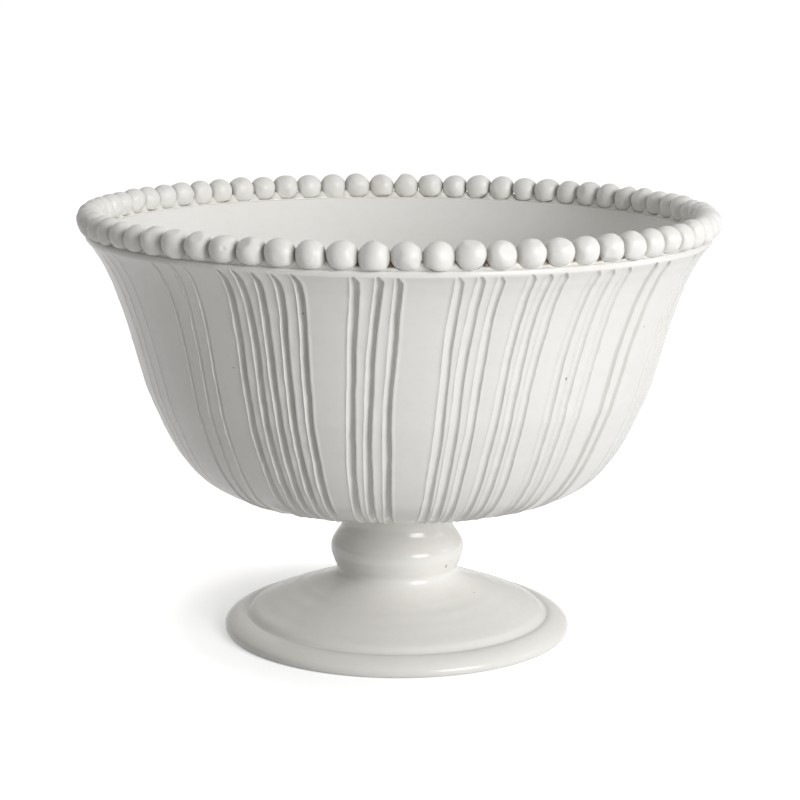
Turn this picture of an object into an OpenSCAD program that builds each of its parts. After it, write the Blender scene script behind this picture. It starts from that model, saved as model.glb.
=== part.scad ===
// Footed compote bowl in white glazed stoneware: a thrown bowl with combed flutes, a thrown
// hollow pedestal, and hand-rolled beads luted side by side along the rim.
// Millimetres, Z up, origin at the centre of the circle that the foot stands on.

/* [Bowl] */
// Diameter of the rolled lip, the widest part of the thrown bowl
lip_d = 325; // [290:1:360]
// Height of the rim's flat top above the table
rim_h = 215; // [195:1:240]
// Height of the lip's band, from the flat top down to its lower edge
lip_h = 4.4; // [3:0.1:6]
// How far the lip stands out over the fluted wall
lip_out = 1.6; // [0.8:0.1:2.6]
// Thickness of the wall, measured level at the rim
wall_t = 6.8; // [5.5:0.1:9]
// Rounding of the rim's inner edge
rim_round = 1.2; // [0.6:0.1:2]
// Thickness of the bowl's floor
floor_t = 9; // [7:0.1:13]
// Diameter of the flat turned under the bowl, where the pedestal joins
seat_d = 84; // [80:1:100]

/* [Flutes] */
// Width of one combed flute
flute_w = 4.4; // [2:0.1:4.6]
// Depth of one combed flute
flute_depth = 1.5; // [0.4:0.1:2]

/* [Rim beads] */
// Number of beads round the rim
bead_count = 69; // [60:3:78]
// How far inside the lip's edge the bead centres lie
bead_inset = 2.5; // [2:0.1:4]
// Free gap between neighbouring beads
bead_gap = 0.16; // [0.06:0.01:0.4]
// Thickness of the slip bed between the rim and the beads
rim_slip_t = 0.5; // [0.3:0.1:1]

/* [Pedestal] */
// Height of the pedestal's top, where the bowl is luted on
pedestal_h = 73; // [69:1:80]
// Diameter of the pedestal's top
stem_top_d = 74; // [68:1:78]
// Diameter of the stem above the knop
stem_d = 58.4; // [55:0.2:62]
// Height of the stem's slimmest place above the table
stem_h = 61; // [57:0.5:64]
// Diameter of the knop, the soft ring half way up the stem
knop_d = 71.2; // [68:0.2:78]
// Height of the knop's widest place above the table
knop_h = 44.5; // [42:0.5:48]
// Diameter of the neck between the knop and the foot
neck_d = 64.8; // [60:0.2:67]
// Height of the neck's slimmest place above the table
neck_h = 33.5; // [31:0.5:36]
// Greatest diameter of the foot
foot_d = 185; // [170:0.2:200]
// Width of the foot's rolled edge, from the crease inside it out to its greatest diameter
edge_w = 11.2; // [8:0.1:14]
// Height of the crease above the table
crease_h = 9; // [7.5:0.1:11]
// Depth of the crease below the foot's slope
crease_depth = 1.3; // [0.4:0.1:1.6]
// How far the ring that the foot stands on lies inside its greatest diameter
rest_inset = 0.7; // [0.3:0.1:2]
// Width of the flat ring that the foot stands on
rest_w = 11; // [7:0.5:13]
// Thickness of the hollow foot's and stem's wall
pedestal_wall = 7; // [5:0.1:8]
// Thickness of clay left over the stem's hollow
stem_cap_t = 11; // [8:0.5:15]
// Thickness of the slip layer between the pedestal and the bowl
joint_slip_t = 1.2; // [0.6:0.1:2]
// How far that slip is squeezed out round the joint
joint_slip_out = 1.4; // [0.5:0.1:1.8]

/* [Hidden] */
beads_per_node = 3;
bead_nodes = bead_count / beads_per_node;
function bead_name(i) = str("rim_beads_", i < 9 ? "0" : "", i + 1);

$fn = 128;
turn = 360;
glaze = [0.93, 0.92, 0.90];
bare_slip = [0.86, 0.83, 0.78];
lip_r = lip_d / 2;
seat_r = seat_d / 2;
bowl_base = pedestal_h + joint_slip_t;
wall_top_r = lip_r - lip_out;
wall_top = rim_h - lip_h;
rim_inner_r = wall_top_r - wall_t;

// Point at parameter t of the cubic curve from a to b. Its two handles are given as shares
// of the way from a to b, first across and then up.
function between(a, b, s) = [a[0] + s[0] * (b[0] - a[0]), a[1] + s[1] * (b[1] - a[1])];
function cubic(a, b, shares, t) = pow(1 - t, 3) * a + 3 * pow(1 - t, 2) * t * between(a, b, shares[0])
    + 3 * (1 - t) * t * t * between(a, b, shares[1]) + pow(t, 3) * b;
function curve(a, b, shares, steps) = [for (i = [1:steps]) cubic(a, b, shares, i / steps)];

// The bowl's outer outline is two such curves: the flared wall from under the lip to the
// bend, and the round belly from the bend to the turned flat. Row numbers run down it.
bend_share = [0.76, 0.44];
flare_shares = [[0.53, 0.23], [0.84, 0.84]];
belly_shares = [[0.23, 0.89], [0.36, 0.97]];
lip_foot = [wall_top_r, wall_top];
seat_edge = [seat_r, bowl_base];
bend = between(seat_edge, lip_foot, bend_share);
flare_rows = 5;
belly_rows = 7;
wall_rows = flare_rows + belly_rows;
function outline(u) = u < flare_rows ? cubic(lip_foot, bend, flare_shares, u / flare_rows)
    : cubic(bend, seat_edge, belly_shares, (u - flare_rows) / belly_rows);

// Direction down the outline at row u, from a short chord, and the way square to it inwards
chord_share = 0.05;
function along(u) = outline(min(u + chord_share, wall_rows)) - outline(max(u - chord_share, 0));
function inward(u) = let (v = along(u)) [v[1], -v[0]] / norm(v);
// The inside runs beside the outside, and the wall thickens evenly down to the floor
function inside(u) = outline(u) + (wall_t + (floor_t - wall_t) * u / wall_rows) * inward(u);

// Each flute's azimuth in degrees under the lip, half way down and at the flat, counted
// from the front towards the right. The comb wandered, so no two flutes lean quite alike.
flute_azimuths = [
    [1, -2, -2.4], [10, 8.5, 7], [13.5, 11.5, 10.3], [17, 15, 13.6],
    [22.5, 20, 18.5], [25.5, 23, 21.9], [28.5, 26, 25.3],
    [36, 32.7, 32.2], [40, 36.7, 35.7], [44.3, 41, 39.2],
    [51.5, 48, 46], [55, 52, 49.5], [65, 62.5, 60], [69, 66.5, 64.5], [74, 71, 69.5],
    [84, 82, 80], [88, 85.5, 83.8], [91.5, 89.5, 87.5],
    [101, 99.5, 98], [104.5, 103, 101.6], [108, 106, 105.2],
    [117, 116, 114], [120.5, 119, 117.6], [124, 122.5, 121.2], [127.5, 126, 124.8],
    [137, 136, 134.5], [140.5, 139, 138.2], [144, 143, 141.9],
    [153.5, 152, 151.4], [157, 155.5, 155], [160.5, 159, 158.5],
    [170, 169.5, 168], [173.5, 172.5, 171.8], [177, 176.5, 175.5],
    [186.5, 186, 186.4], [190, 189.5, 190], [193.5, 193, 193.6], [197, 197, 197.2],
    [206.5, 207, 206.6], [210, 210.5, 210.3], [213.5, 214, 214],
    [223, 223, 224], [226.5, 227, 227.7], [230, 231, 231.3],
    [239.5, 240, 241], [243, 243.5, 244.6], [246.5, 247.5, 248.2],
    [256, 257, 257.5], [259.5, 260.5, 261.1], [263, 264, 264.8], [266.5, 268, 268.4],
    [276, 277, 277.8], [279.5, 281, 281.4], [283, 284, 285],
    [293, 292.5, 293], [297, 296.5, 297], [301.5, 301.2, 301],
    [314.5, 312.5, 311.5], [319, 316.5, 315.6], [322.5, 320.5, 320],
    [330, 328.5, 328.6], [333, 332, 332.1], [336.3, 335, 335.6], [340, 338.3, 339],
    [343.5, 342, 342.4], [353, 350.5, 349.5], [357, 354, 353.4]
];
flute_total = len(flute_azimuths);
function flute(f) = f < flute_total ? flute_azimuths[f] : flute(f - flute_total) + [turn, turn, turn];
// Smooth path through a flute's three azimuths, by the share of the wall's height gone down
function flute_azimuth(f, u) = let (a = flute(f), s = (wall_top - outline(u)[1]) / (wall_top - bowl_base))
    a[0] * (1 - s) * (1 - 2 * s) + 4 * a[1] * s * (1 - s) + a[2] * s * (2 * s - 1);

// The comb bites in just under the lip. Under the belly it turns on its edge, which narrows
// the flutes with the wall's radius, and last it leaves the clay on the underside.
flute_start_row = 0.3;
flute_narrow_row = flare_rows + 4;
flute_end_row = flare_rows + 5;
fluted_rows = concat([0, flute_start_row], [for (u = [1:wall_rows]) u]);
function bite(u) = u < flute_start_row ? 0
    : u <= flute_end_row ? 1 : (wall_rows - u) / (wall_rows - flute_end_row + 1);

// Columns of wall points: two edges and the middle of each flute, and one or more in each
// plain panel. A column holds its flute, its share of the way to the next, and its edge.
panel_step = 6;
columns = [for (f = [0:flute_total - 1])
    let (plain = floor((flute(f + 1)[0] - flute(f)[0]) / panel_step))
    each concat([[f, 0, -1], [f, 0, 0], [f, 0, 1]],
        plain == 0 ? [] : [for (p = [1:plain]) [f, p / (plain + 1), 0]])];
column_total = len(columns);
function half_width(u) = asin(flute_w / 2 / max(outline(u)[0], outline(flute_narrow_row)[0]));
function column_azimuth(c, u) = (1 - c[1]) * flute_azimuth(c[0], u) + c[1] * flute_azimuth(c[0] + 1, u)
    + c[2] * half_width(u);
function is_floor_of_flute(c) = c[1] == 0 && c[2] == 0;
function around(p, azimuth) = [p[0] * sin(azimuth), -p[0] * cos(azimuth), p[1]];
function wall_point(c, u) = let (depth = is_floor_of_flute(c) ? flute_depth * bite(u) : 0)
    around(outline(u) + depth * inward(u), column_azimuth(c, u));

// Plain rings above and inside the fluted wall: over the lip, across the rim, down the
// inside. The lip's section is in shares of its stand-out and of its height.
lip_shares = [[0.7, 0.08], [1, 0.3], [1, 0.62], [0.7, 0.92], [0.2, 1]];
rim_flat_r = wall_top_r + lip_shares[4][0] * lip_out;
lip_section = [for (s = lip_shares) lip_foot + [s[0] * lip_out, s[1] * lip_h]];
corner_share = 0.3;
rim_section = [
    [rim_inner_r + rim_round, rim_h],
    [rim_inner_r + corner_share * rim_round, rim_h - corner_share * rim_round],
    [rim_inner_r, rim_h - rim_round]
];
plain_rings = concat(lip_section, rim_section, [for (u = [1:wall_rows]) inside(u)]);
ring_total = len(plain_rings);
ring_points = 72;
ring_step = turn / ring_points;

first_ring = len(fluted_rows) * column_total;
function wall_id(i, j) = i * column_total + j % column_total;
function ring_id(i, k) = first_ring + i * ring_points + (k + ring_points) % ring_points;
function quad(a, b, c, d) = [[a, b, c], [a, c, d]];

// The lowest ring has fewer points than the wall, so each wall edge meets the ring point
// nearest its middle, and a ring edge is met where that point changes
function nearest(j) = j < 0 ? nearest(j + column_total) - ring_points
    : round((column_azimuth(columns[j], 0) + column_azimuth(columns[(j + 1) % column_total], 0)
        + (j + 1 < column_total ? 0 : turn)) / 2 / ring_step);

module bowl() {
    wall_points = [for (u = fluted_rows) for (c = columns) wall_point(c, u)];
    plain_points = [for (p = plain_rings) for (k = [0:ring_points - 1]) around(p, k * ring_step)];
    wall_faces = [for (i = [0:len(fluted_rows) - 2]) for (j = [0:column_total - 1])
        each quad(wall_id(i, j), wall_id(i, j + 1), wall_id(i + 1, j + 1), wall_id(i + 1, j))];
    seam_faces = [for (j = [0:column_total - 1]) each concat(
        [[ring_id(0, nearest(j)), wall_id(0, j + 1), wall_id(0, j)]],
        [for (k = [nearest(j - 1):1:nearest(j) - 1]) [ring_id(0, k), ring_id(0, k + 1), wall_id(0, j)]])];
    plain_faces = [for (i = [0:ring_total - 2]) for (k = [0:ring_points - 1])
        each quad(ring_id(i + 1, k), ring_id(i + 1, k + 1), ring_id(i, k + 1), ring_id(i, k))];
    flat_under = [for (j = [0:column_total - 1]) wall_id(len(fluted_rows) - 1, j)];
    floor_inside = [for (k = [ring_points - 1:-1:0]) ring_id(ring_total - 1, k)];
    color(glaze)
        polyhedron(
            points = concat(wall_points, plain_points),
            faces = concat(wall_faces, seam_faces, plain_faces, [flat_under, floor_inside]),
            convexity = 10);
}

// Outline of the pedestal from its top to the ring that it stands on. Each curve's handles
// are shares of the way between its two ends.
curve_steps = 8;
widest_share = 0.26;
stem_top = [stem_top_d / 2, pedestal_h];
stem = [stem_d / 2, stem_h];
knop = [knop_d / 2, knop_h];
neck = [neck_d / 2, neck_h];
crease = [foot_d / 2 - edge_w, crease_h];
slope_end = crease + [-crease_depth, crease_depth];
foot_edge = [foot_d / 2, crease_h * widest_share];
rest_edge = [foot_d / 2 - rest_inset, 0];
rest_inner = rest_edge - [rest_w, 0];
stem_top_shares = [[0.85, 0.1], [1, 0.4]];
stem_shares = [[0, 0.5], [1, 0.6]];
knop_shares = [[0, 0.5], [1, 0.8]];
slope_shares = [[0, 0.34], [0.5, 0.5]];
rolled_shares = [[0.2, 0.1], [1, 0.45]];
rest_shares = [[0, 0.6], [0.5, 1]];

// The hollow runs beside the foot's slope, then straight up inside the stem
function slope_inward(t) = let (v = cubic(neck, slope_end, slope_shares, min(t + chord_share, 1))
    - cubic(neck, slope_end, slope_shares, max(t - chord_share, 0))) [v[1], -v[0]] / norm(v);
hollow_slope = [for (i = [curve_steps:-1:0]) let (t = i / curve_steps)
    cubic(neck, slope_end, slope_shares, t) + pedestal_wall * slope_inward(t)];
hollow_r = stem_d / 2 - pedestal_wall;
hollow_top = pedestal_h - stem_cap_t;
hollow_corner_shares = [[0, 0.55], [0.45, 1]];
hollow_side = [hollow_r, hollow_top - hollow_r / 2];
hollow_roof = [hollow_r / 2, hollow_top];

module pedestal() {
    color(glaze)
        rotate_extrude()
            polygon(concat(
                [[0, pedestal_h], stem_top],
                curve(stem_top, stem, stem_top_shares, curve_steps),
                curve(stem, knop, stem_shares, curve_steps),
                curve(knop, neck, knop_shares, curve_steps),
                curve(neck, slope_end, slope_shares, curve_steps),
                [crease],
                curve(crease, foot_edge, rolled_shares, curve_steps),
                curve(foot_edge, rest_edge, rest_shares, curve_steps),
                [rest_inner],
                hollow_slope,
                [hollow_side],
                curve(hollow_side, hollow_roof, hollow_corner_shares, curve_steps),
                [[0, hollow_top]]));
}

// Thin layer of clay slip that the bowl's flat is pressed into, squeezed out a little
module joint_slip() {
    squeezed = [stem_top[0] + joint_slip_out, bowl_base];
    squeezed_shares = [[0, 0.6], [0.5, 1]];
    color(bare_slip)
        rotate_extrude()
            polygon(concat([[0, pedestal_h], stem_top],
                curve(stem_top, squeezed, squeezed_shares, curve_steps), [[0, bowl_base]]));
}

// Bed of slip along the rim's flat top, under the beads
bead_ring_r = lip_r - bead_inset;
bead_seat = rim_h + rim_slip_t;
module rim_slip() {
    bed_inner = rim_inner_r + rim_round;
    bed_outer = rim_flat_r;
    color(bare_slip)
        rotate_extrude()
            polygon([[bed_inner, rim_h], [bed_outer, rim_h], [bed_outer, bead_seat], [bed_inner, bead_seat]]);
}

// Hand-rolled beads, no two quite the same size, each pressed flat where it sits. The
// largest one fills its share of the ring but for the free gap.
first_bead_azimuth = 1.2;
bead_smaller_share = 0.035;
bead_rise_share = 0.9;
scatter = 137.5;
largest_bead_r = bead_ring_r * sin(turn / 2 / bead_count) - bead_gap / 2;
function bead_r(k) = largest_bead_r * (1 - bead_smaller_share * (1 + sin(k * scatter)) / 2);
module bead(k) {
    r = bead_r(k);
    rise = r * bead_rise_share;
    rotate([0, 0, first_bead_azimuth + k * turn / bead_count])
        translate([0, -bead_ring_r, bead_seat + rise])
            difference() {
                sphere(r = r);
                translate([-r, -r, -rise - r])
                    cube([2 * r, 2 * r, r]);
            }
}
module rim_beads(i) {
    color(glaze)
        for (k = [0:beads_per_node - 1])
            bead(i * beads_per_node + k);
}

bowl();
pedestal();
joint_slip();
rim_slip();
for (i = [0:bead_nodes - 1])
    rim_beads(i);
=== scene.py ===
import math

import bmesh
import bpy
import numpy as np
from mathutils import Matrix, Vector


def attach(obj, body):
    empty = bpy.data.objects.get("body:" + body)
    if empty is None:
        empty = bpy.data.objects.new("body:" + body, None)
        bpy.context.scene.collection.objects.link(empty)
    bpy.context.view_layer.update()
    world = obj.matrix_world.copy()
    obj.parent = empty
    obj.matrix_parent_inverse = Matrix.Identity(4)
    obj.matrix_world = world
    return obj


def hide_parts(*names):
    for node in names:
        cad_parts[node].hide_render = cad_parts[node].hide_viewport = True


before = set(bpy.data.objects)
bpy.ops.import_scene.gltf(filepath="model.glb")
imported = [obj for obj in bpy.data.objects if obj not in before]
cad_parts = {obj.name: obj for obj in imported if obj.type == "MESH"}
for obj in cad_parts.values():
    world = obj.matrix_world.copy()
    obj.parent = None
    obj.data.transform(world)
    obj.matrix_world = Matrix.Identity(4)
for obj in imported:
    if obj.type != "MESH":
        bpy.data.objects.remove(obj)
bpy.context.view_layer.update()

scene = bpy.context.scene
scene.view_settings.view_transform = "Standard"


# Camera: a long lens a little above the rim, looking down at the bowl from the front.
# It is rolled and shifted by a hair, as on a tripod that stood not quite level.
camera_place = Vector((0.0, -1.1345, 0.3506))
camera_down = math.radians(11.303)
camera_roll = math.radians(0.34)
sensor_w = 36
focal_length = 98.08
shift_right = 0.0025
lens_data = bpy.data.cameras.new("long_lens")
lens_data.sensor_width = sensor_w
lens_data.lens = focal_length
lens_data.shift_x = shift_right
camera = bpy.data.objects.new("camera", lens_data)
camera.matrix_world = (Matrix.Translation(camera_place)
                       @ Matrix.Rotation(math.pi / 2 - camera_down, 4, "X")
                       @ Matrix.Rotation(camera_roll, 4, "Z"))
scene.collection.objects.link(camera)
scene.camera = camera


# Studio: a wide floor of white paper that keeps the soft shadow beside the foot, and a room
# lit from above and behind. A large softbox stands in front on the right, a small one beside.
floor_reach = 40.0
floor_glow = 0.305
glow_tint = (0.94, 0.96, 1, 1)
bounced_white = (0.64, 0.64, 0.64, 1)
shadow_ring = (0.105, 0.150)
camera_white = (0.15, 0.64)
room_light = {"Y": 0.62, "Z": 0.48}
room_tint = (1.0, 0.98, 0.948, 1)
lamp_tint = (1.0, 0.996, 0.988)
lamp_aim = (0, 0, 0.13)


def add_node(tree, kind, **settings):
    node = tree.nodes.new(kind)
    for name, value in settings.items():
        if name.startswith("in_"):
            node.inputs[name[3:].replace("_", " ")].default_value = value
        else:
            setattr(node, name, value)
    return node


def seen_directly(tree):
    """1 for a camera, glossy or transmission ray, and 0 for light that bounces on."""
    path = add_node(tree, "ShaderNodeLightPath")
    first = add_node(tree, "ShaderNodeMath", operation="MAXIMUM")
    second = add_node(tree, "ShaderNodeMath", operation="MAXIMUM")
    tree.links.new(path.outputs["Is Camera Ray"], first.inputs[0])
    tree.links.new(path.outputs["Is Glossy Ray"], first.inputs[1])
    tree.links.new(first.outputs[0], second.inputs[0])
    tree.links.new(path.outputs["Is Transmission Ray"], second.inputs[1])
    return second.outputs[0]


floor_mesh = bmesh.new()
bmesh.ops.create_grid(floor_mesh, x_segments=1, y_segments=1, size=floor_reach)
floor_data = bpy.data.meshes.new("studio_floor")
floor_mesh.to_mesh(floor_data)
floor_mesh.free()
studio_floor = bpy.data.objects.new("studio_floor", floor_data)
scene.collection.objects.link(studio_floor)
paper = bpy.data.materials.new("white_paper_floor")
paper.use_nodes = True
tree = paper.node_tree
tree.nodes.clear()

# The paper as it is seen: white, with a glow that hides its far end. The camera gets some
# more white, but less of it beside the foot, so that the shadow shows there
glow = add_node(tree, "ShaderNodeEmission", in_Color=glow_tint, in_Strength=floor_glow)
shade = add_node(tree, "ShaderNodeBsdfDiffuse", in_Color=(1, 1, 1, 1))
path = add_node(tree, "ShaderNodeLightPath")
beside = add_node(tree, "ShaderNodeTexCoord")
from_middle = add_node(tree, "ShaderNodeVectorMath", operation="LENGTH")
whitened = add_node(tree, "ShaderNodeMapRange", interpolation_type="SMOOTHSTEP")
whitened.inputs["From Min"].default_value = shadow_ring[0]
whitened.inputs["From Max"].default_value = shadow_ring[1]
whitened.inputs["To Min"].default_value = camera_white[0]
whitened.inputs["To Max"].default_value = camera_white[1]
part_white = add_node(tree, "ShaderNodeMath", operation="MULTIPLY")
again = add_node(tree, "ShaderNodeBsdfDiffuse")
whiter = add_node(tree, "ShaderNodeAddShader")
shown = add_node(tree, "ShaderNodeAddShader")
tree.links.new(beside.outputs["Object"], from_middle.inputs[0])
tree.links.new(from_middle.outputs["Value"], whitened.inputs["Value"])
tree.links.new(path.outputs["Is Camera Ray"], part_white.inputs[0])
tree.links.new(whitened.outputs[0], part_white.inputs[1])
tree.links.new(part_white.outputs[0], again.inputs["Color"])
tree.links.new(shade.outputs[0], whiter.inputs[0])
tree.links.new(again.outputs[0], whiter.inputs[1])
tree.links.new(glow.outputs[0], shown.inputs[0])
tree.links.new(whiter.outputs[0], shown.inputs[1])

# The paper as the bowl is lit by it: plain light grey
bounce = add_node(tree, "ShaderNodeBsdfDiffuse", in_Color=bounced_white)
choice = add_node(tree, "ShaderNodeMixShader")
surface = add_node(tree, "ShaderNodeOutputMaterial")
tree.links.new(seen_directly(tree), choice.inputs[0])
tree.links.new(bounce.outputs[0], choice.inputs[1])
tree.links.new(shown.outputs[0], choice.inputs[2])
tree.links.new(choice.outputs[0], surface.inputs["Surface"])
floor_data.materials.append(paper)

# The room as the bowl is lit by it, and plain white where the camera sees it
room = bpy.data.worlds.new("studio_room")
scene.world = room
room.use_nodes = True
tree = room.node_tree
tree.nodes.clear()
toward = add_node(tree, "ShaderNodeTexCoord")
apart = add_node(tree, "ShaderNodeSeparateXYZ")
tree.links.new(toward.outputs["Generated"], apart.inputs[0])
level = None
for side, strength in room_light.items():
    facing = add_node(tree, "ShaderNodeMath", operation="MAXIMUM")
    facing.inputs[1].default_value = 0
    part = add_node(tree, "ShaderNodeMath", operation="MULTIPLY_ADD")
    part.inputs[1].default_value = strength
    part.inputs[2].default_value = 0
    tree.links.new(apart.outputs[side], facing.inputs[0])
    tree.links.new(facing.outputs[0], part.inputs[0])
    if level is not None:
        tree.links.new(level.outputs[0], part.inputs[2])
    level = part
walls = add_node(tree, "ShaderNodeBackground", in_Color=room_tint)
white = add_node(tree, "ShaderNodeBackground", in_Color=(1, 1, 1, 1), in_Strength=1.0)
path = add_node(tree, "ShaderNodeLightPath")
either = add_node(tree, "ShaderNodeMath", operation="MAXIMUM")
choice = add_node(tree, "ShaderNodeMixShader")
sky = add_node(tree, "ShaderNodeOutputWorld")
tree.links.new(level.outputs[0], walls.inputs["Strength"])
tree.links.new(path.outputs["Is Camera Ray"], either.inputs[0])
tree.links.new(path.outputs["Is Transmission Ray"], either.inputs[1])
tree.links.new(either.outputs[0], choice.inputs[0])
tree.links.new(walls.outputs[0], choice.inputs[1])
tree.links.new(white.outputs[0], choice.inputs[2])
tree.links.new(choice.outputs[0], sky.inputs["Surface"])


def softbox(name, place, across, watts):
    data = bpy.data.lights.new(name, "AREA")
    data.shape = "SQUARE"
    data.size = across
    data.energy = watts
    data.color = lamp_tint
    lamp = bpy.data.objects.new(name, data)
    lamp.location = place
    aim = Vector(lamp_aim) - Vector(place)
    lamp.rotation_euler = aim.to_track_quat("-Z", "Y").to_euler()
    scene.collection.objects.link(lamp)


softbox("key_softbox", (1.396, -1.550, 0.834), 1.0, 33)
softbox("side_softbox", (2.126, 0.186, 0.662), 0.6, 2.6)


# Bowl: stoneware thrown thin on the wheel, flared from a round belly to a rolled lip. Its
# outside is cut from lip to stem with a loop tool, in groups, and it is glazed white.
MM = 0.001
TURN = 2 * math.pi
SAME_PLACE = 1e-7
lip_r = 162.5
lip_h = 4.4
lip_out = 1.6
lip_band_h = 3.0
lip_fullness = 0.7
lip_under = 0.5
lip_to_wall = np.array([0.6, 0.7])
rim_h = 215.0
rim_round = 1.2
wall_t = 6.8
floor_t = 9.0
floor_flat_r = 20.0
seat_r = 42.0
bowl_base = 74.2
bend_share = np.array([0.76, 0.44])
flare_shares = ((0.53, 0.23), (0.84, 0.84))
belly_shares = ((0.23, 0.89), (0.36, 0.97))
flare_rows, belly_rows = 5, 7
wall_rows = flare_rows + belly_rows
wall_top = np.array([lip_r - lip_out, rim_h - lip_h])
seat_edge = np.array([seat_r, bowl_base])
bend = seat_edge + bend_share * (wall_top - seat_edge)
inner_turns = 260
bowl_rng = np.random.default_rng(41)


def cubic(a, b, shares, t):
    """Places along the curve from a to b, whose handles are shares of the way between them."""
    a, b = np.array(a, float), np.array(b, float)
    one, two = (a + np.array(s) * (b - a) for s in shares)
    t = np.asarray(t, float)[..., None]
    return (1 - t) ** 3 * a + 3 * (1 - t) ** 2 * t * one + 3 * (1 - t) * t * t * two + t ** 3 * b


def wall_place(u):
    """Radius and height of the wall's outside, from 0 under the lip to wall_rows at the stem."""
    u = np.asarray(u, float)
    flare = cubic(wall_top, bend, flare_shares, np.clip(u / flare_rows, 0, 1))
    belly = cubic(bend, seat_edge, belly_shares, np.clip((u - flare_rows) / belly_rows, 0, 1))
    return np.where((u < flare_rows)[..., None], flare, belly)


def turned_inward(run):
    return np.stack([run[..., 1], -run[..., 0]], -1) / np.linalg.norm(run, axis=-1)[..., None]


def wall_inward(u):
    step = 0.05
    return turned_inward(wall_place(np.minimum(u + step, wall_rows))
                         - wall_place(np.maximum(u - step, 0)))


def smooth_step(x):
    x = np.clip(x, 0, 1)
    return x * x * (3 - 2 * x)


def waver(rng, along, lengths, sizes):
    """A slow random wander, as a sum of a few waves with about these lengths and sizes."""
    stretch_shares = (0.8, 1.25)
    total = np.zeros_like(along)
    for length, size in zip(lengths, sizes):
        wave = along / (length * rng.uniform(*stretch_shares)) + rng.uniform()
        total = total + size * np.sin(TURN * wave)
    return total


def spun(strips, steps):
    """A turned mesh. Each strip is a row of (radius, height) in mm, from the top or the
    middle outwards; its points keep their running number along all strips in 'row'."""
    bm = bmesh.new()
    row = bm.verts.layers.float.new("row")
    count = 0
    for strip, turns in zip(strips, steps):
        verts = []
        for r, z in strip:
            vert = bm.verts.new((0, -r * MM, z * MM))
            vert[row] = count
            count += 1
            verts.append(vert)
        edges = [bm.edges.new(pair) for pair in zip(verts, verts[1:])]
        bmesh.ops.spin(bm, geom=verts + edges, cent=(0, 0, 0), axis=(0, 0, 1), dvec=(0, 0, 0),
                       angle=TURN, steps=turns, use_merge=True, use_duplicate=False)
    return bm, row


def merge_doubles(bm):
    bmesh.ops.remove_doubles(bm, verts=bm.verts[:], dist=SAME_PLACE)


def turn_outward(bm):
    bmesh.ops.recalc_face_normals(bm, faces=bm.faces[:])


def mesh_of(bm, name):
    data = bpy.data.meshes.new(name)
    bm.to_mesh(data)
    bm.free()
    return data


def points_of(data):
    """A mesh's points in mm."""
    points = np.empty(len(data.vertices) * 3, np.float32)
    data.vertices.foreach_get("co", points)
    return points.reshape(-1, 3).astype(float) / MM


def put_back(data, points, **layers):
    """Gives a turned mesh its new points in mm and the layers that its glaze reads."""
    data.vertices.foreach_set("co", (points * MM).astype(np.float32).ravel())
    for name, values in layers.items():
        layer = data.attributes.new(name, "FLOAT", "POINT")
        layer.data.foreach_set("value", values.astype(np.float32))
    data.attributes.remove(data.attributes["row"])
    data.update()
    data.shade_smooth()


def piece_of(data, glaze):
    piece = bpy.data.objects.new(data.name, data)
    scene.collection.objects.link(piece)
    data.materials.append(glaze)
    return piece


# Rows round the lip and down the outside: close together under the lip, where the flutes start.
# A run is how far down the surface a row lies from the wall's top, so the lip's are negative
lip_runs = (-8.5, -0.9)
lip_steps = 9
close_run, close_rows, other_rows = 11, 11, 62
fine_places = 2401
fine_u = np.linspace(0, wall_rows, fine_places)
fine_step = np.linalg.norm(np.diff(wall_place(fine_u), axis=0), axis=1)
fine_run = np.concatenate([[0], np.cumsum(fine_step)])
wall_length = fine_run[-1]
row_runs = np.concatenate([np.linspace(0, close_run, close_rows)[:-1],
                           np.linspace(close_run, wall_length, other_rows)])
row_u = np.interp(row_runs, fine_run, fine_u)
lip_turns = np.linspace(math.pi / 2, -math.pi / 2, lip_steps)[:-1]
lip_foot_r = np.where(lip_turns > 0, wall_top[0], lip_r - lip_under)
lip_rows = np.stack([lip_foot_r + (lip_r - lip_foot_r) * np.cos(lip_turns) ** lip_fullness,
                     rim_h - lip_band_h / 2 * (1 - np.sin(lip_turns))], -1)
lip_rows = np.concatenate([lip_rows, [wall_top + lip_to_wall]])
outer_rows = np.concatenate([lip_rows, wall_place(row_u), [[0, bowl_base]]])

# Rows of the plain inside, from the middle of its floor up to the rim. Each lies across the
# wall from a place on the outside, and the wall thickens towards the floor
rim_steps = 5
inner_wall_u, inner_wall_rows, inner_floor_u = (0.7, 10), 20, (10.7, 11.4, wall_rows)
rim_inner_r = wall_top[0] - wall_t
rim_turns = np.linspace(math.pi / 2, 0, rim_steps)
rim_rows = np.stack([rim_inner_r + rim_round - rim_round * np.cos(rim_turns),
                     rim_h - rim_round + rim_round * np.sin(rim_turns)], -1)
inner_u = np.concatenate([np.linspace(*inner_wall_u, inner_wall_rows), inner_floor_u])
inner_t = wall_t + (floor_t - wall_t) * inner_u / wall_rows
inner_rows = wall_place(inner_u) + inner_t[:, None] * wall_inward(inner_u)
inner_floor_h = inner_rows[-1][1]
inner_rows = np.concatenate([rim_rows, inner_rows,
                             [[floor_flat_r, inner_floor_h], [0, inner_floor_h]]])[::-1]

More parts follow.
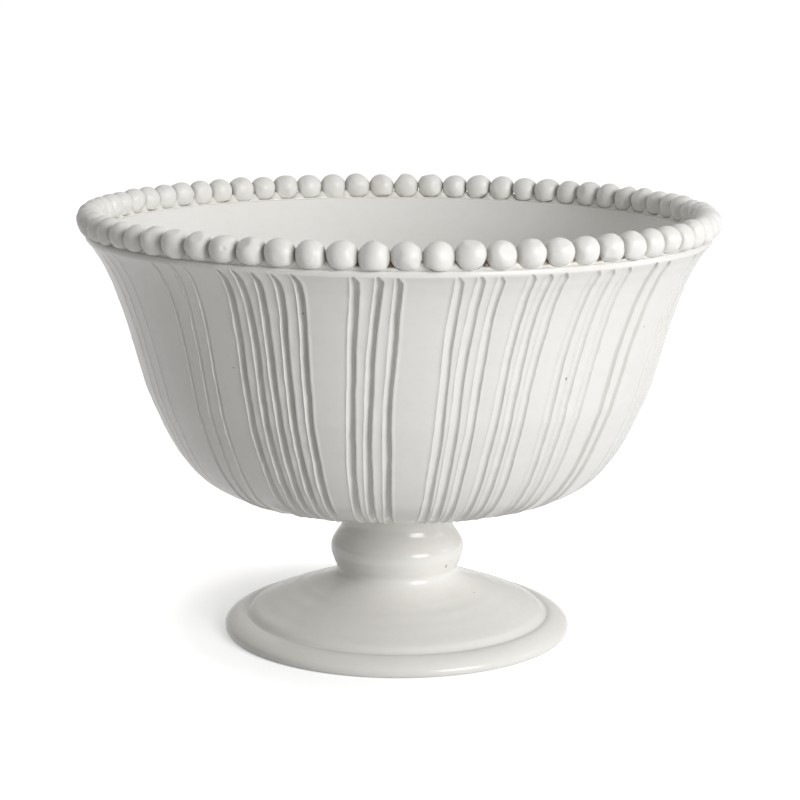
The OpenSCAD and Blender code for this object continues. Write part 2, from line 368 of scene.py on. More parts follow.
# Azimuth of each flute under the lip, half way down and at the stem, in degrees from the
# front towards the right
flute_azimuths = np.array([
    [0.2, -2, -2.4], [10, 8.5, 7], [13.5, 11.5, 10.3], [17, 15, 13.6],
    [22.5, 20, 18.5], [25.5, 23, 21.9], [28.5, 26, 25.3],
    [34.9, 32.5, 32.2], [38.3, 36.3, 35.7], [42.3, 40.6, 39.2],
    [49.5, 47.8, 46], [53.8, 51.8, 49.5], [65, 62.5, 60], [69, 66.5, 64.5], [74, 71, 69.5],
    [84, 82, 80], [88, 85.5, 83.8], [91.5, 89.5, 87.5],
    [101, 99.5, 98], [104.5, 103, 101.6], [108, 106, 105.2],
    [117, 116, 114], [120.5, 119, 117.6], [124, 122.5, 121.2], [127.5, 126, 124.8],
    [137, 136, 134.5], [140.5, 139, 138.2], [144, 143, 141.9],
    [153.5, 152, 151.4], [157, 155.5, 155], [160.5, 159, 158.5],
    [170, 169.5, 168], [173.5, 172.5, 171.8], [177, 176.5, 175.5],
    [186.5, 186, 186.4], [190, 189.5, 190], [193.5, 193, 193.6], [197, 197, 197.2],
    [206.5, 207, 206.6], [210, 210.5, 210.3], [213.5, 214, 214],
    [223, 223, 224], [226.5, 227, 227.7], [230, 231, 231.3],
    [239.5, 240, 241], [243, 243.5, 244.6], [246.5, 247.5, 248.2],
    [256, 257, 257.5], [259.5, 260.5, 261.1], [263, 264, 264.8], [266.5, 268, 268.4],
    [276, 277, 277.8], [279.5, 281, 281.4], [283, 284, 285],
    [293, 292.5, 293], [297, 296.5, 297], [301.5, 301.2, 301],
    [314.9, 313.2, 312.0], [319.4, 317.1, 315.8], [322.6, 320.7, 319.8],
    [330, 328.5, 328.6], [333, 332, 332.1], [336.3, 335, 335.6], [340, 338.3, 339],
    [343.5, 342, 342.4], [353, 350.5, 349.5], [357, 354, 353.4]])
flute_count = len(flute_azimuths)

# How the flutes are cut, from each azimuth under the lip onwards: their width and depth as
# shares of the usual ones, how much painted shade greys them, and their left and right burr
flute_cuts = np.array([
    [0, 1.0, 0.92, 0.45, 0.65, 1.3],
    [5, 1.0, 0.40, 0.08, 0.8, 0.9],
    [45, 1.0, 0.74, 0.40, 0.7, 0.7],
    [60, 1.0, 0.46, 0.20, 0.4, 0.4],
    [100, 1.0, 0.75, 0.40, 1.0, 1.0],
    [270, 0.45, 0.12, 0.0, 0.12, 0.12],
    [305, 0.42, 0.50, 0.90, 1.6, 0.35],
    [325, 0.88, 1.20, 1.0, 1.6, 1.1],
    [350, 1.0, 0.92, 0.45, 0.65, 1.3]])

# A flute keeps its width in mm down to one radius and narrows with the wall from there, and
# it fades out round the stem
flute_w, flute_w_shares = 4.4, (0.93, 1.03)
narrow_below_r = 95.3
flute_depth = 2.4
fade_r, fade_over = 41, 9
burr_h, most_burr_h = 0.32, 0.5

# Between these azimuths the flutes are hooked, at the back every other one, and elsewhere
# they start as a chisel leaves them. Each kind has its run at the start, its lean in degrees
# and the share of its width that it starts with, and then settles over a few mm
hooked_left, hooked_back = (285, 346), (130, 230)
hooked_start, chiselled_start = (-4.4, -2.8), (-3.4, -2.0)
hooked_lean, chiselled_lean = (0.7, 1.2), (-0.2, 0.2)
hooked_open_share, chiselled_open_share = 0.06, 0.5
hooked_open_run, chiselled_open_run = 3.6, 4.0
lean_run, bite_run, burr_run = 5.0, 3.0, 2.5

# Lengths in mm and sizes of the waves in a flute's path, width, edges, depth and burrs, and
# in the thrown rings of the wall between the flutes
path_waves = (90, 41, 19), (0.22, 0.09, 0.04)
width_waves = (60, 24), (0.04, 0.02)
edge_waves = (11, 6.4), (0.035, 0.04)
depth_waves = (45, 19), (0.08, 0.06)
burr_waves = (38, 17, 11), (0.06, 0.06, 0.06)
panel_waves = (23, 11.3, 7.1), (0.05, 0.05, 0.04)
panel_run = 6

# Columns down a flute, from its left edge at -1 to its right edge at 1, and columns down the
# clay between two flutes: the crest and the foot of the burr beside each flute, and one more
# on a narrow land or five on a wide panel. A burr's places are in mm from its flute's edge,
# and stop at a share of the land
across_flute = np.array([-1, -0.93, -0.6, -0.2, 0.14, 0.36, 0.62, 0.9, 1])
deepest = 0.36
left_curve, right_curve = 1.5, 1.8
edge_lift_share = 0.6
painted_shade_from, painted_shade_over = -0.1, 0.8
crest_at, crest_most_share = 0.11, 0.12
right_foot_at, right_foot_most_share = 0.85, 0.38
left_foot_at, left_foot_most_share = 0.42, 0.22
land_middle_share = 0.72
panel_from_degrees = 5.5
land_columns, panel_columns = 1, 5
IN_FLUTE, RIGHT_CREST, RIGHT_FOOT, LAND, LEFT_FOOT, LEFT_CREST = range(6)
spaces = np.diff(np.append(flute_azimuths[:, 0], flute_azimuths[0, 0] + 360))
plain_columns = np.where(spaces < panel_from_degrees, land_columns, panel_columns)
columns_so_far = flute_count * (len(across_flute) + 4) + plain_columns.sum()
plain_columns[np.argmax(spaces)] += -columns_so_far % 4
column_list = []
for f in range(flute_count):
    column_list += [(f, IN_FLUTE, a) for a in across_flute]
    column_list += [(f, RIGHT_CREST, 0), (f, RIGHT_FOOT, 0)]
    n = plain_columns[f]
    column_list += [(f, LAND, land_middle_share if n == 1 else smooth_step((p + 1) / (n + 1)))
                    for p in range(n)]
    column_list += [(f, LEFT_FOOT, 0), (f, LEFT_CREST, 0)]
column_count = len(column_list)

# The outside is spun in quarter steps and its rings are cut up finer, because a spin slows
# down with its steps. The inside is spun apart and bridged to it over the rim
ring_cuts = 3
bm, row_layer = spun([outer_rows, inner_rows], [column_count // (ring_cuts + 1), inner_turns])
outer_last = len(outer_rows) - 1
rings = [e for e in bm.edges if abs(e.verts[0][row_layer] - e.verts[1][row_layer]) < 0.5
         and e.verts[0][row_layer] < outer_last - 0.5]
bmesh.ops.subdivide_edges(bm, edges=rings, cuts=ring_cuts)
merge_doubles(bm)
bmesh.ops.bridge_loops(bm, edges=[e for e in bm.edges if e.is_boundary])
turn_outward(bm)
bowl_data = mesh_of(bm, "bowl_thrown")
points = points_of(bowl_data)
rows = np.empty(len(points), np.float32)
bowl_data.attributes["row"].data.foreach_get("value", rows)
rows = np.rint(rows).astype(int)
turn_at = np.arctan2(points[:, 0], -points[:, 1]) % TURN
burr_at = np.zeros(len(points))
groove_at = np.zeros(len(points))

# Where each flute's two edges run: its middle bends through its three azimuths and wanders,
# the flute starts narrow close under the lip, and a hooked one leans over at its top
runs = np.concatenate([np.linspace(*lip_runs, len(lip_rows)), row_runs])
place_r = np.concatenate([lip_rows[:, 0], wall_place(row_u)[:, 0]])
place_z = np.concatenate([lip_rows[:, 1], wall_place(row_u)[:, 1]])
down_share = (wall_top[1] - place_z) / (wall_top[1] - bowl_base)
width_r = np.maximum(place_r, narrow_below_r)
fade = smooth_step((place_r - fade_r) / fade_over)
left_edge = np.zeros((flute_count, len(runs)))
right_edge = np.zeros_like(left_edge)
flute_bite = np.zeros_like(left_edge)
flute_painted_shade = np.zeros_like(left_edge)
flute_burrs = np.zeros((flute_count, 2, len(runs)))
for f, (top, half, foot) in enumerate(flute_azimuths):
    cut_as = np.searchsorted(flute_cuts[:, 0], top, "right") - 1
    _, width_share, depth_share, painted_grey, *burr_shares = flute_cuts[cut_as]
    hooked = hooked_left[0] < top < hooked_left[1] \
        or (hooked_back[0] < top < hooked_back[1] and f % 2 == 0)
    start = bowl_rng.uniform(*(hooked_start if hooked else chiselled_start))
    after = np.maximum(runs - start, 0)
    middle = top * (1 - down_share) * (1 - 2 * down_share) \
        + 4 * half * down_share * (1 - down_share) + foot * down_share * (2 * down_share - 1)
    lean = bowl_rng.uniform(*(hooked_lean if hooked else chiselled_lean))
    middle = middle - lean * np.exp(-after / lean_run)
    wander = waver(bowl_rng, runs, *path_waves)
    width = 1 + waver(bowl_rng, runs, *width_waves)
    width = width * flute_w * bowl_rng.uniform(*flute_w_shares) * width_share
    if hooked:
        opened = 1 - (1 - hooked_open_share) * np.exp(-after / hooked_open_run)
    else:
        opened = chiselled_open_share \
            + (1 - chiselled_open_share) * smooth_step(after / chiselled_open_run)
    ragged = [waver(bowl_rng, runs, *edge_waves) for side in (0, 1)]
    left_at = wander - width / 2
    left_edge[f] = middle + np.degrees((left_at + ragged[0]) / width_r)
    right_edge[f] = middle + np.degrees((left_at + width * opened + ragged[1]) / width_r)
    bite = smooth_step(after / bite_run) * fade
    flute_bite[f] = depth_share * bite * (1 + waver(bowl_rng, runs, *depth_waves))
    flute_painted_shade[f] = painted_grey * bite
    for side in (0, 1):
        rough = burr_h + waver(bowl_rng, runs, *burr_waves)
        flute_burrs[f, side] = burr_shares[side] * np.clip(rough, 0, most_burr_h) \
            * smooth_step(after / burr_run) * fade

# Every column's azimuth and lift over the thrown wall, row by row
least_land = 0.05
column_az = np.zeros((column_count, len(runs)))
column_lift = np.zeros_like(column_az)
column_burr = np.zeros_like(column_az)
column_painted_shade = np.zeros_like(column_az)
panel_rings = waver(bowl_rng, place_z, *panel_waves)
for c, (f, kind, at) in enumerate(column_list):
    if kind == IN_FLUTE:
        where = (at + 1) / 2
        column_az[c] = left_edge[f] * (1 - where) + right_edge[f] * where
        if abs(at) == 1:
            column_burr[c] = flute_burrs[f, 0 if at < 0 else 1]
            column_lift[c] = edge_lift_share * column_burr[c]
        else:
            if at < deepest:
                cut = 1 - ((deepest - at) / (deepest + 1)) ** left_curve
            else:
                cut = 1 - ((at - deepest) / (1 - deepest)) ** right_curve
            column_lift[c] = -flute_depth * cut * flute_bite[f]
            # painted shade: greyer towards the flute's right wall, which faces away from the
            # light
            column_painted_shade[c] = flute_painted_shade[f] * smooth_step((at - painted_shade_from) / painted_shade_over)
        continue
    following = (f + 1) % flute_count
    after_it = left_edge[following] + (360 if following == 0 else 0)
    land = np.maximum(np.radians(after_it - right_edge[f]) * place_r, least_land)
    crest = np.minimum(crest_at / land, crest_most_share)
    right_foot = np.minimum(right_foot_at / land, right_foot_most_share)
    left_foot = np.minimum(left_foot_at / land, left_foot_most_share)
    share = {RIGHT_CREST: crest, RIGHT_FOOT: right_foot,
             LAND: right_foot + at * (1 - right_foot - left_foot),
             LEFT_FOOT: 1 - left_foot, LEFT_CREST: 1 - crest}[kind]
    column_az[c] = right_edge[f] * (1 - share) + after_it * share
    if kind in (RIGHT_CREST, LEFT_CREST):
        column_lift[c] = flute_burrs[f, 1] if kind == RIGHT_CREST else flute_burrs[following, 0]
        column_burr[c] = column_lift[c]
column_lift += (panel_rings * smooth_step(runs / panel_run))[None, :]

# Each point of the outside goes to its column's azimuth, lifted off or sunk into the wall
inward = np.concatenate([np.stack([-np.cos(lip_turns), -np.sin(lip_turns)], -1),
                         wall_inward(np.zeros(1)), wall_inward(row_u)])
outer = rows < outer_last
column_at = np.rint(turn_at / TURN * column_count).astype(int) % column_count
pick = (column_at[outer], rows[outer])
azimuth = np.radians(column_az[pick])
lift = column_lift[pick]
radius = place_r[rows[outer]] - lift * inward[rows[outer], 0]
height = place_z[rows[outer]] - lift * inward[rows[outer], 1]
points[outer] = np.stack([radius * np.sin(azimuth), -radius * np.cos(azimuth), height], -1)
burr_at[outer] = column_burr[pick]
groove_at[outer] = column_painted_shade[pick]

# The thrown inside keeps the faint spiral that the fingers leave, and its floor flat rings.
# Both fade out towards the middle, and the spiral fades out under the rim too
spiral_h, spiral_pitch, spiral_from_r, spiral_fade = 0.10, 9.5, 8, 30
spiral_to_h, spiral_rim_fade = rim_h - 4, 10
floor_ring_h, floor_pitch, floor_from_r, floor_fade, floor_to_r = 0.08, 11, 3, 10, 60
inside = rows > outer_last
own_r = np.hypot(points[inside, 0], points[inside, 1])
spiral = spiral_h * np.sin(TURN * points[inside, 2] / spiral_pitch + turn_at[inside]) \
    * smooth_step((own_r - spiral_from_r) / spiral_fade) \
    * smooth_step((spiral_to_h - points[inside, 2]) / spiral_rim_fade)
points[inside, :2] *= (1 - spiral / np.maximum(own_r, 1))[:, None]
points[inside, 2] += floor_ring_h * np.sin(TURN * own_r / floor_pitch) \
    * (own_r < floor_to_r) * smooth_step((own_r - floor_from_r) / floor_fade)
put_back(bowl_data, points, burr=burr_at, groove=groove_at)


def white_glaze(name, cream, ring_h, burr_layer=None, groove_layer=None, bare_layer=None,
                pit_and_shade_layer=None, pinhole_from=0.90, sheen=(0.14, 0.26)):
    """Glossy white glaze: slightly warm and uneven, creamy where it lies thin on burrs, greyed
    with painted shade where the shade layer says, with fine ripples, throwing rings and a few
    pinholes."""
    glaze_ior = 1.5
    ripple_h, pinhole_depth, pinhole_edge = 0.07, 0.3, 0.035
    rings_stretch = (6, 6, 150)
    # Cream where the glaze breaks thin on burrs; grey for painted shade in flutes, crease and
    # between beads
    thin_cream, painted_shade_grey = (0.90, 0.875, 0.82), (0.50, 0.49, 0.46)
    pit_and_shade_brown, pinhole_brown = (0.12, 0.085, 0.06), (0.34, 0.28, 0.21)
    bare_clay, bare_rough = (0.66, 0.58, 0.47), 0.85
    cloudy, flecked = (0.982, 0.979, 0.970), (0.982, 0.978, 0.968)
    material = bpy.data.materials.new(name)
    material.use_nodes = True
    tree = material.node_tree
    shader = tree.nodes["Principled BSDF"]
    shader.inputs["IOR"].default_value = glaze_ior
    where = add_node(tree, "ShaderNodeTexCoord").outputs["Object"]

    def noise(scale, detail, **more):
        node = add_node(tree, "ShaderNodeTexNoise", in_Scale=scale, in_Detail=detail, **more)
        tree.links.new(where, node.inputs["Vector"])
        return node.outputs["Fac"]

    def shades(value, low_color, high_color, low, high):
        ramp = add_node(tree, "ShaderNodeValToRGB")
        ramp.color_ramp.interpolation = "EASE"
        ramp.color_ramp.elements[0].position = low
        ramp.color_ramp.elements[0].color = (*low_color, 1)
        ramp.color_ramp.elements[1].position = high
        ramp.color_ramp.elements[1].color = (*high_color, 1)
        tree.links.new(value, ramp.inputs["Fac"])
        return ramp.outputs["Color"]

    def laid_over(last, layer, tint, low=0.0, high=1.0):
        seen = add_node(tree, "ShaderNodeAttribute", attribute_name=layer)
        amount = add_node(tree, "ShaderNodeMapRange")
        amount.inputs["From Min"].default_value = low
        amount.inputs["From Max"].default_value = high
        mix = add_node(tree, "ShaderNodeMix", data_type="RGBA")
        mix.inputs[7].default_value = (*tint, 1)
        tree.links.new(seen.outputs["Fac"], amount.inputs["Value"])
        tree.links.new(amount.outputs[0], mix.inputs[0])
        tree.links.new(last, mix.inputs[6])
        return mix.outputs[2], amount.outputs[0]

    clouds = noise(scale=16.0, detail=3.0, in_Roughness=0.55)
    specks = noise(scale=210.0, detail=2.0)
    clouded = tuple(c * share for c, share in zip(cream, cloudy))
    color = add_node(tree, "ShaderNodeMix", data_type="RGBA", blend_type="MULTIPLY")
    color.inputs[0].default_value = 1.0
    tree.links.new(shades(clouds, clouded, cream, low=0.15, high=0.85), color.inputs[6])
    tree.links.new(shades(specks, flecked, (1, 1, 1), low=0.15, high=0.60), color.inputs[7])
    last = color.outputs[2]
    if burr_layer:
        last, _ = laid_over(last, burr_layer, thin_cream, low=0.05, high=0.9)
    # brown pits, partly bare clay and partly painted shade
    if pit_and_shade_layer:
        last, _ = laid_over(last, pit_and_shade_layer, pit_and_shade_brown, low=0.45, high=0.85)
    # painted shade laid into the glaze colour
    if groove_layer:
        last, _ = laid_over(last, groove_layer, painted_shade_grey)

    # Pinholes: the few highest spots of a fine noise, each a dark pit
    pinhole = add_node(tree, "ShaderNodeMapRange", interpolation_type="SMOOTHSTEP")
    pinhole.inputs["From Min"].default_value = pinhole_from
    pinhole.inputs["From Max"].default_value = pinhole_from + pinhole_edge
    tree.links.new(noise(scale=330.0, detail=0.0), pinhole.inputs["Value"])
    spotted = add_node(tree, "ShaderNodeMix", data_type="RGBA")
    spotted.inputs[7].default_value = (*pinhole_brown, 1)
    tree.links.new(pinhole.outputs[0], spotted.inputs[0])
    tree.links.new(last, spotted.inputs[6])
    last = spotted.outputs[2]

    gloss = add_node(tree, "ShaderNodeMapRange")
    gloss.inputs["To Min"].default_value = sheen[0]
    gloss.inputs["To Max"].default_value = sheen[1]
    tree.links.new(clouds, gloss.inputs["Value"])
    rough = gloss.outputs[0]
    if bare_layer:
        last, bare = laid_over(last, bare_layer, bare_clay)
        dull = add_node(tree, "ShaderNodeMix", data_type="FLOAT")
        dull.inputs[3].default_value = bare_rough
        tree.links.new(bare, dull.inputs[0])
        tree.links.new(rough, dull.inputs[2])
        rough = dull.outputs[0]
    tree.links.new(rough, shader.inputs["Roughness"])
    tree.links.new(last, shader.inputs["Base Color"])

    # The relief: throwing rings from a noise that is squeezed upwards, ripples and pinholes
    squeeze = add_node(tree, "ShaderNodeMapping")
    squeeze.inputs["Scale"].default_value = rings_stretch
    tree.links.new(where, squeeze.inputs["Vector"])
    thrown = add_node(tree, "ShaderNodeTexNoise", in_Scale=1.0, in_Detail=3.0)
    tree.links.new(squeeze.outputs[0], thrown.inputs["Vector"])
    ripple = noise(scale=130.0, detail=3.0)
    normal = None
    for height, raised in ((thrown.outputs["Fac"], ring_h), (ripple, ripple_h),
                           (pinhole.outputs[0], -pinhole_depth)):
        bump = add_node(tree, "ShaderNodeBump")
        bump.inputs["Strength"].default_value = 1.0
        bump.inputs["Distance"].default_value = abs(raised) * MM
        bump.invert = raised < 0
        tree.links.new(height, bump.inputs["Height"])
        if normal is not None:
            tree.links.new(normal, bump.inputs["Normal"])
        normal = bump.outputs[0]
    tree.links.new(normal, shader.inputs["Normal"])
    return material


bowl_white = (0.865, 0.862, 0.848)
bowl = piece_of(bowl_data, white_glaze("bowl_white_glaze", bowl_white, ring_h=0.15,
                                       burr_layer="burr", groove_layer="groove"))
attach(bowl, "root")
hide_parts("bowl")


# Pedestal: stoneware thrown upside down in one piece and turned, hollow from below. It has a
# knop on its stem, a sloping foot, a crease and a soft rolled edge. It is glazed white but
# for the ring that it stands on.
pedestal_h = 73.0
stem_middle_r = 30.0
stem_top = (37.0, pedestal_h)
stem = (29.2, 61.0)
knop = (35.6, 44.5)
neck = (32.4, 33.5)
slope_end = (80.0, 10.3)
crease_bottom = (80.9, 8.6)
foot_edge = (92.5, 2.34)
rest_edge_r, rest_middle_r, rest_inner_r = 91.2, 86.0, 80.8
hollow_r = 22.2
hollow_top = 62.0
hollow_heights = (31.0, 36.0, 42.0, hollow_top - hollow_r / 2)
pedestal_wall = 7.0
pedestal_turns = 224

# Handles of the curves that lead to each of those places, as shares of the way there
stem_shares = ((0.85, 0.1), (1, 0.4))
knop_shares = ((0, 0.5), (1, 0.6))
neck_shares = ((0, 0.5), (1, 0.8))
slope_shares = ((0, 0.34), (0.5, 0.5))
crease_shares = ((0.55, 0.22), (0.72, 0.95))
edge_shares = ((0.24, -0.17), (1, 0.42))
rest_shares = ((0, 0.6), (0.4, 1))
bore_shares = ((0, 0.55), (0.45, 1))


def curve_rows(a, b, shares, count):
    """Places from a to b on a curve, without a itself."""
    return cubic(a, b, shares, np.linspace(0, 1, count + 1))[1:]


# The crease takes over from the slope two rows before its end, and the hollow under the
# slope follows it with every second row
slope_step = 0.05
slope_t = np.linspace(0, 1, 31)
slope = cubic(neck, slope_end, slope_shares, slope_t)
ahead = cubic(neck, slope_end, slope_shares, np.minimum(slope_t + slope_step, 1))
behind = cubic(neck, slope_end, slope_shares, np.maximum(slope_t - slope_step, 0))
hollow_slope = (slope + pedestal_wall * turned_inward(ahead - behind))[::-2]
pedestal_rows = np.concatenate([
    [(0.0, pedestal_h), (stem_middle_r, pedestal_h), stem_top],
    curve_rows(stem_top, stem, stem_shares, count=12),
    curve_rows(stem, knop, knop_shares, count=14),
    curve_rows(knop, neck, neck_shares, count=14),
    slope[1:-2],
    curve_rows(slope[-3], crease_bottom, crease_shares, count=8),
    curve_rows(crease_bottom, foot_edge, edge_shares, count=18),
    curve_rows(foot_edge, (rest_edge_r, 0.0), rest_shares, count=6),
    [(rest_middle_r, 0.0), (rest_inner_r, 0.0)],
    hollow_slope,
    [(hollow_r, z) for z in hollow_heights],
    curve_rows((hollow_r, hollow_heights[-1]), (hollow_r / 2, hollow_top), bore_shares,
               count=6),
    [(0.0, hollow_top)]])
bm, _ = spun([pedestal_rows], [pedestal_turns])
merge_doubles(bm)
turn_outward(bm)
pedestal_data = mesh_of(bm, "pedestal_thrown")


def round_waves(angle, waves):
    """A sum of waves round a circle. Each has its height in mm, its number and its start."""
    return sum(height * np.sin(number * angle + start) for height, number, start in waves)


# Throwing ridges turn round the foot's slope, each kind with its height in mm, how often it
# comes, how many starts it has round the foot and where it begins. The stem is ringed and a
# little out of round, and shade is painted into the crease
ridge_kinds = ((0.117, 1, 1, 0), (0.078, 0.53, 1, 1.7), (0.065, 2.1, 2, -0.6))
ridge_pitch, ridge_climb = 7.3, 0.6
ridges_from_r, ridges_from_fade = 38, 8
ridges_to_r, ridges_to_fade = 81, 6
ridges_above = 9.9
stem_waves = ((0.12, 2, 0.4), (0.08, 3, 2.2))
stem_ring_h, stem_pitch = 0.06, 5.1
stem_from, stem_to, stem_fade = 26, 71, 6
shell_r = 25
bare_below, bare_from_r = 0.05, 78
crease_r, crease_w, crease_above, crease_shade = 81.8, 2.0, 7, 0.25
points = points_of(pedestal_data)
own_r = np.hypot(points[:, 0], points[:, 1])
turn_at = np.arctan2(points[:, 0], -points[:, 1])
ring = TURN * (own_r + ridge_climb * points[:, 2]) / ridge_pitch
ridge = sum(height * np.sin(often * ring + starts * turn_at + begin)
            for height, often, starts, begin in ridge_kinds)
on_slope = smooth_step((own_r - ridges_from_r) / ridges_from_fade) \
    * smooth_step((ridges_to_r - own_r) / ridges_to_fade) * (points[:, 2] > ridges_above)
points[:, 2] += ridge * on_slope
stem_lift = round_waves(turn_at, stem_waves) \
    + stem_ring_h * np.sin(TURN * points[:, 2] / stem_pitch)
on_stem = smooth_step((points[:, 2] - stem_from) / stem_fade) \
    * smooth_step((stem_to - points[:, 2]) / stem_fade) * (own_r > shell_r)
points[:, :2] *= (1 + stem_lift * on_stem / np.maximum(own_r, shell_r))[:, None]
bare = (points[:, 2] < bare_below) & (own_r > bare_from_r)
# painted shade: the glaze is greyed along the crease, where shade falls
painted_shade_amount = crease_shade * np.exp(-((own_r - crease_r) / crease_w) ** 2) \
    * (points[:, 2] > crease_above)
put_back(pedestal_data, points, bare=bare, groove=painted_shade_amount)
pedestal_white = (0.885, 0.876, 0.848)
pedestal = piece_of(pedestal_data, white_glaze("pedestal_white_glaze", pedestal_white,
                                               ring_h=0.10, groove_layer="groove",
                                               bare_layer="bare"))
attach(pedestal, "root")
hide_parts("pedestal")


# Luting slip between pedestal and bowl: a thin coat of liquid clay, squeezed out as an
# uneven fillet when the bowl was pressed on, and wiped with a wet finger.
slip_middle_r, slip_foot_r, slip_top_r = 20.0, 36.8, 38.4
fillet_shares = ((0.5, 0.1), (0.9, 0.6))
slip_turns = 144
squeezed_from_r = 35
squeezed_waves = ((0.18, 5, 1), (0.15, 11, 0))
slip_white = (0.83, 0.82, 0.78)
slip_rows = np.concatenate([
    [(0.0, pedestal_h), (slip_middle_r, pedestal_h), (slip_foot_r, pedestal_h)],
    curve_rows((slip_foot_r, pedestal_h), (slip_top_r, bowl_base), fillet_shares, count=6),
    [(slip_middle_r, bowl_base), (0.0, bowl_base)]])
bm, _ = spun([slip_rows], [slip_turns])
merge_doubles(bm)
turn_outward(bm)
for vert in bm.verts:
    out = vert.co.xy.length / MM
    if out > squeezed_from_r:
        angle = math.atan2(vert.co.x, -vert.co.y)
        vert.co.xy *= 1 + round_waves(angle, squeezed_waves) / out
joint_data = mesh_of(bm, "joint_slip_squeezed")
joint_data.attributes.remove(joint_data.attributes["row"])
joint_data.shade_smooth()
joint_slip = piece_of(joint_data, white_glaze("joint_slip_glaze", slip_white, ring_h=0.10))
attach(joint_slip, "root")
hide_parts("joint_slip")


# Slip bed along the rim: liquid clay brushed on before the beads were set. It creeps up a
# little between them, and small brown pits stay open where the glaze did not run in; they
# are made very dark as painted shade in the crevices between the beads.
bead_count = 69
bead_seat = 215.5
first_bead = math.radians(1.2)
bed_inner, bed_outer = 155.3, 161.2
bed_rounds = (0.35, 0.15)
bed_tops = (160.0, 159.0, 158.0, 157.0)
bed_steps, bed_cuts = 4, 3
bed_crown_r, bed_crown_w, crown_sharpness = 158.7, 3.2, 4
creep_h, creep_sharpness = (3.4, 4.6), 4
pit_and_shade_range = (0.1, 1.5)
pit_and_shade_from_r = 158.5
bed_white = (0.85, 0.84, 0.81)
outer_round_r, inner_round_r = bed_outer - bed_rounds[0], bed_inner + bed_rounds[0]
bed_radii = (bed_outer, bed_inner, outer_round_r, *bed_tops, inner_round_r)
bed_rows = [(bed_outer, rim_h), (bed_outer, bead_seat - bed_rounds[1]),
            (outer_round_r, bead_seat), *((r, bead_seat) for r in bed_tops),
            (inner_round_r, bead_seat), (bed_inner, bead_seat - bed_rounds[1]),
            (bed_inner, rim_h)]
bm, _ = spun([bed_rows + [bed_rows[0]]], [bead_count * bed_steps])


def on_ring(edge):
    a, b = (vert.co for vert in edge.verts)
    return abs(a.z - b.z) < SAME_PLACE and abs(a.xy.length - b.xy.length) < SAME_PLACE


bmesh.ops.subdivide_edges(bm, edges=[e for e in bm.edges if on_ring(e)], cuts=bed_cuts)
merge_doubles(bm)
turn_outward(bm)
bed_rng = np.random.default_rng(5)
creep = bed_rng.uniform(*creep_h, bead_count)
pit_and_shade_amounts = bed_rng.uniform(*pit_and_shade_range, bead_count)
pit_and_shade_layer = bm.verts.layers.float.new("pit_and_shade")
for vert in bm.verts:
    bead = (math.atan2(vert.co.x, -vert.co.y) - first_bead) % TURN * bead_count / TURN
    between_beads = (0.5 - 0.5 * math.cos(TURN * bead)) ** creep_sharpness
    out = vert.co.xy.length / MM
    out_to = min(bed_radii, key=lambda r: abs(r - out))
    crown = max(0.0, 1 - ((out_to - bed_crown_r) / bed_crown_w) ** crown_sharpness)
    vert.co.xy *= out_to / out
    if vert.co.z > (rim_h + bead_seat) / 2 * MM:
        vert.co.z += creep[int(bead) % bead_count] * between_beads * crown * MM
        # brown pits of bare clay, darkened further as painted shade in the crevices between
        # beads
        vert[pit_and_shade_layer] = pit_and_shade_amounts[int(bead) % bead_count] * between_beads \
            * (out_to > pit_and_shade_from_r)
bed_data = mesh_of(bm, "rim_slip_bed")
bed_data.attributes.remove(bed_data.attributes["row"])
bed_data.shade_smooth()
bed = piece_of(bed_data, white_glaze("rim_slip_glaze", bed_white, ring_h=0.10,
                                     pit_and_shade_layer="pit_and_shade"))
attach(bed, "root")
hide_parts("rim_slip")


# Rim beads: 69 balls of clay rolled in the palm and pressed side by side on to the slip, so
# none is quite round. Some keep a dent or a crease from the fingers. Three make a piece.
bead_ring_r = 160.0
bead_gap = 0.16
largest_bead_r = bead_ring_r * math.sin(math.pi / bead_count) - bead_gap / 2
bead_half_w = 7.27
beads_per_run = 3
seat_share = 0.9
smaller_share, size_turn = 0.035, 137.5
across_shares, along_share, up_shares = (0.93, 1.0), 1.06, (0.92, 1.0)
bead_white = (0.88, 0.875, 0.858)
bead_sheen = (0.32, 0.46)
bead_glaze = white_glaze("bead_white_glaze", bead_white, ring_h=0.04, groove_layer="groove",
                         pinhole_from=0.96, sheen=bead_sheen)

# What the palm and fingers leave on a bead, as shares of its radius: broad lobes, a dent on
# some and a crease on others, flats where it was pressed, and a foot spread by its weight
lobes, lobe_depth, lobe_waves = 6, 0.030, (2.0, 3.6)
dented_odds, dent_depth, dent_w = 0.55, (0.03, 0.07), (0.03, 0.12)
creased_odds, crease_depth, crease_at, crease_thin = 0.25, 0.018, 0.35, 0.05
dimpled, dimple_depth, dimple_w = 63, 0.07, 0.018
dimple_way = np.array([0.87, 0.45, 0.2])
presses, press_at, press_share, press_softness = 6, (0.78, 0.93), 0.85, 0.022
foot_spread = (0.2, 0.6)

# Painted shade between two touching beads, greying the glaze: from this share of a bead's
# half width, and below this share of its radius
contact_shade, contact_shade_from, contact_shade_over = 0.8, 0.70, 0.28
contact_shade_below, contact_shade_rise = 0.9, 0.5
bead_rng = np.random.default_rng(23)


def any_way(flat=1.0):
    way = bead_rng.normal(size=3) * (1, 1, flat)
    return way / np.linalg.norm(way)


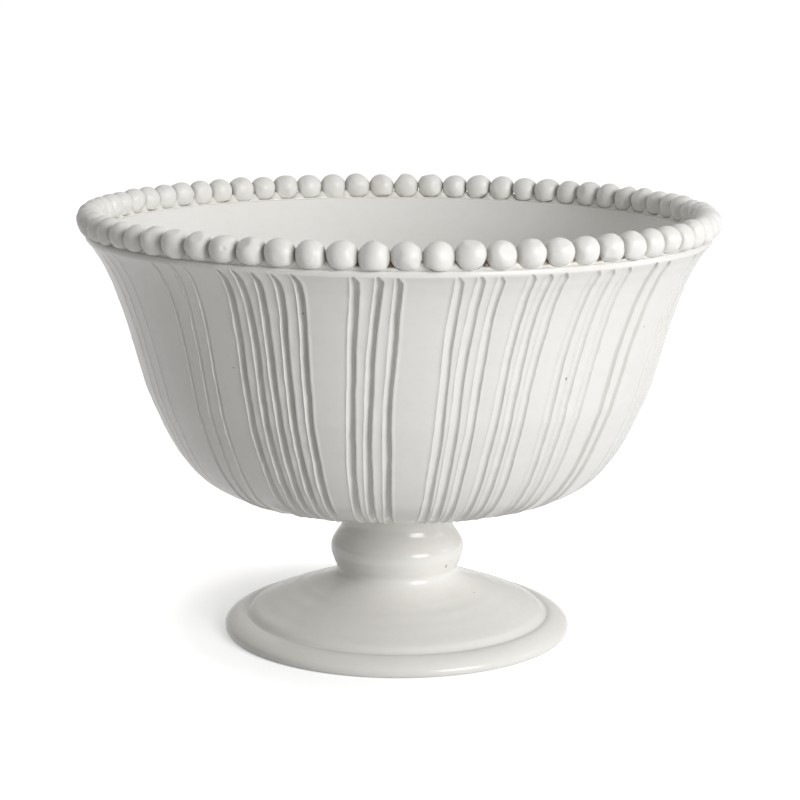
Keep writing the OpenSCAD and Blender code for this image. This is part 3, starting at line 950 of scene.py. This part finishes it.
def rolled(way, k):
    """One bead's form in units of its radius. Way is across the ring, along it and up."""
    shape = np.ones(len(way))
    for _ in range(lobes):
        toward = way @ any_way()
        wave = bead_rng.uniform(*lobe_waves) * toward + bead_rng.uniform(0, TURN)
        shape -= lobe_depth * (0.5 + 0.5 * np.cos(wave))
    if bead_rng.uniform() < dented_odds:
        toward = way @ any_way(flat=0.5)
        depth = bead_rng.uniform(*dent_depth)
        shape -= depth * np.exp(-((1 - toward) / bead_rng.uniform(*dent_w)))
    if bead_rng.uniform() < creased_odds:
        shape -= crease_depth * np.exp(-((way @ any_way() - crease_at) / crease_thin) ** 2)
    if k == dimpled:
        shape -= dimple_depth * np.exp(-((1 - way @ dimple_way) / dimple_w) ** 2)
    form = way * shape[:, None]
    for _ in range(presses):
        press = any_way()
        over = form @ press - bead_rng.uniform(*press_at)
        flattened = press_softness * np.log1p(np.exp(over / press_softness))
        form -= press_share * flattened[:, None] * press
    form[:, :2] *= 1 + bead_rng.uniform(*foot_spread) * np.clip(-form[:, 2:], 0, 1) ** 3
    form -= (form.max(0) + form.min(0)) / 2
    return form


for run in range(bead_count // beads_per_run):
    bm = bmesh.new()
    groove_layer = bm.verts.layers.float.new("groove")
    for k in range(run * beads_per_run, (run + 1) * beads_per_run):
        smaller = smaller_share * (1 + math.sin(math.radians(k * size_turn))) / 2
        r = largest_bead_r * (1 - smaller)
        ball = bmesh.ops.create_icosphere(bm, subdivisions=5, radius=1.0)["verts"]
        form = rolled(np.array([v.co for v in ball]), k)
        reach = np.array([bead_rng.uniform(*across_shares), along_share,
                          bead_rng.uniform(*up_shares)])
        form *= reach * r / np.abs(form).max(0)
        form[:, 1] = np.clip(form[:, 1], -bead_half_w, bead_half_w)
        touching = smooth_step((np.abs(form[:, 1]) / bead_half_w - contact_shade_from) / contact_shade_over)
        # painted shade in the crevices where the beads touch
        painted_shade_amount = contact_shade * touching * smooth_step((contact_shade_below - form[:, 2] / r) / contact_shade_rise)
        form[:, 2] = np.maximum(form[:, 2], -seat_share * r)
        angle = first_bead + k * TURN / bead_count
        out, along = form[:, 0] + bead_ring_r, form[:, 1]
        place = np.stack([out * math.sin(angle) + along * math.cos(angle),
                          -out * math.cos(angle) + along * math.sin(angle),
                          form[:, 2] + seat_share * r + bead_seat], -1) * MM
        for vert, spot, painted_grey in zip(ball, place, painted_shade_amount):
            vert.co = spot
            vert[groove_layer] = painted_grey
    turn_outward(bm)
    beads_data = mesh_of(bm, "beads_%02d" % (run + 1))
    beads_data.shade_smooth()
    beads = piece_of(beads_data, bead_glaze)
    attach(beads, "root")
    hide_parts("rim_beads_%02d" % (run + 1))
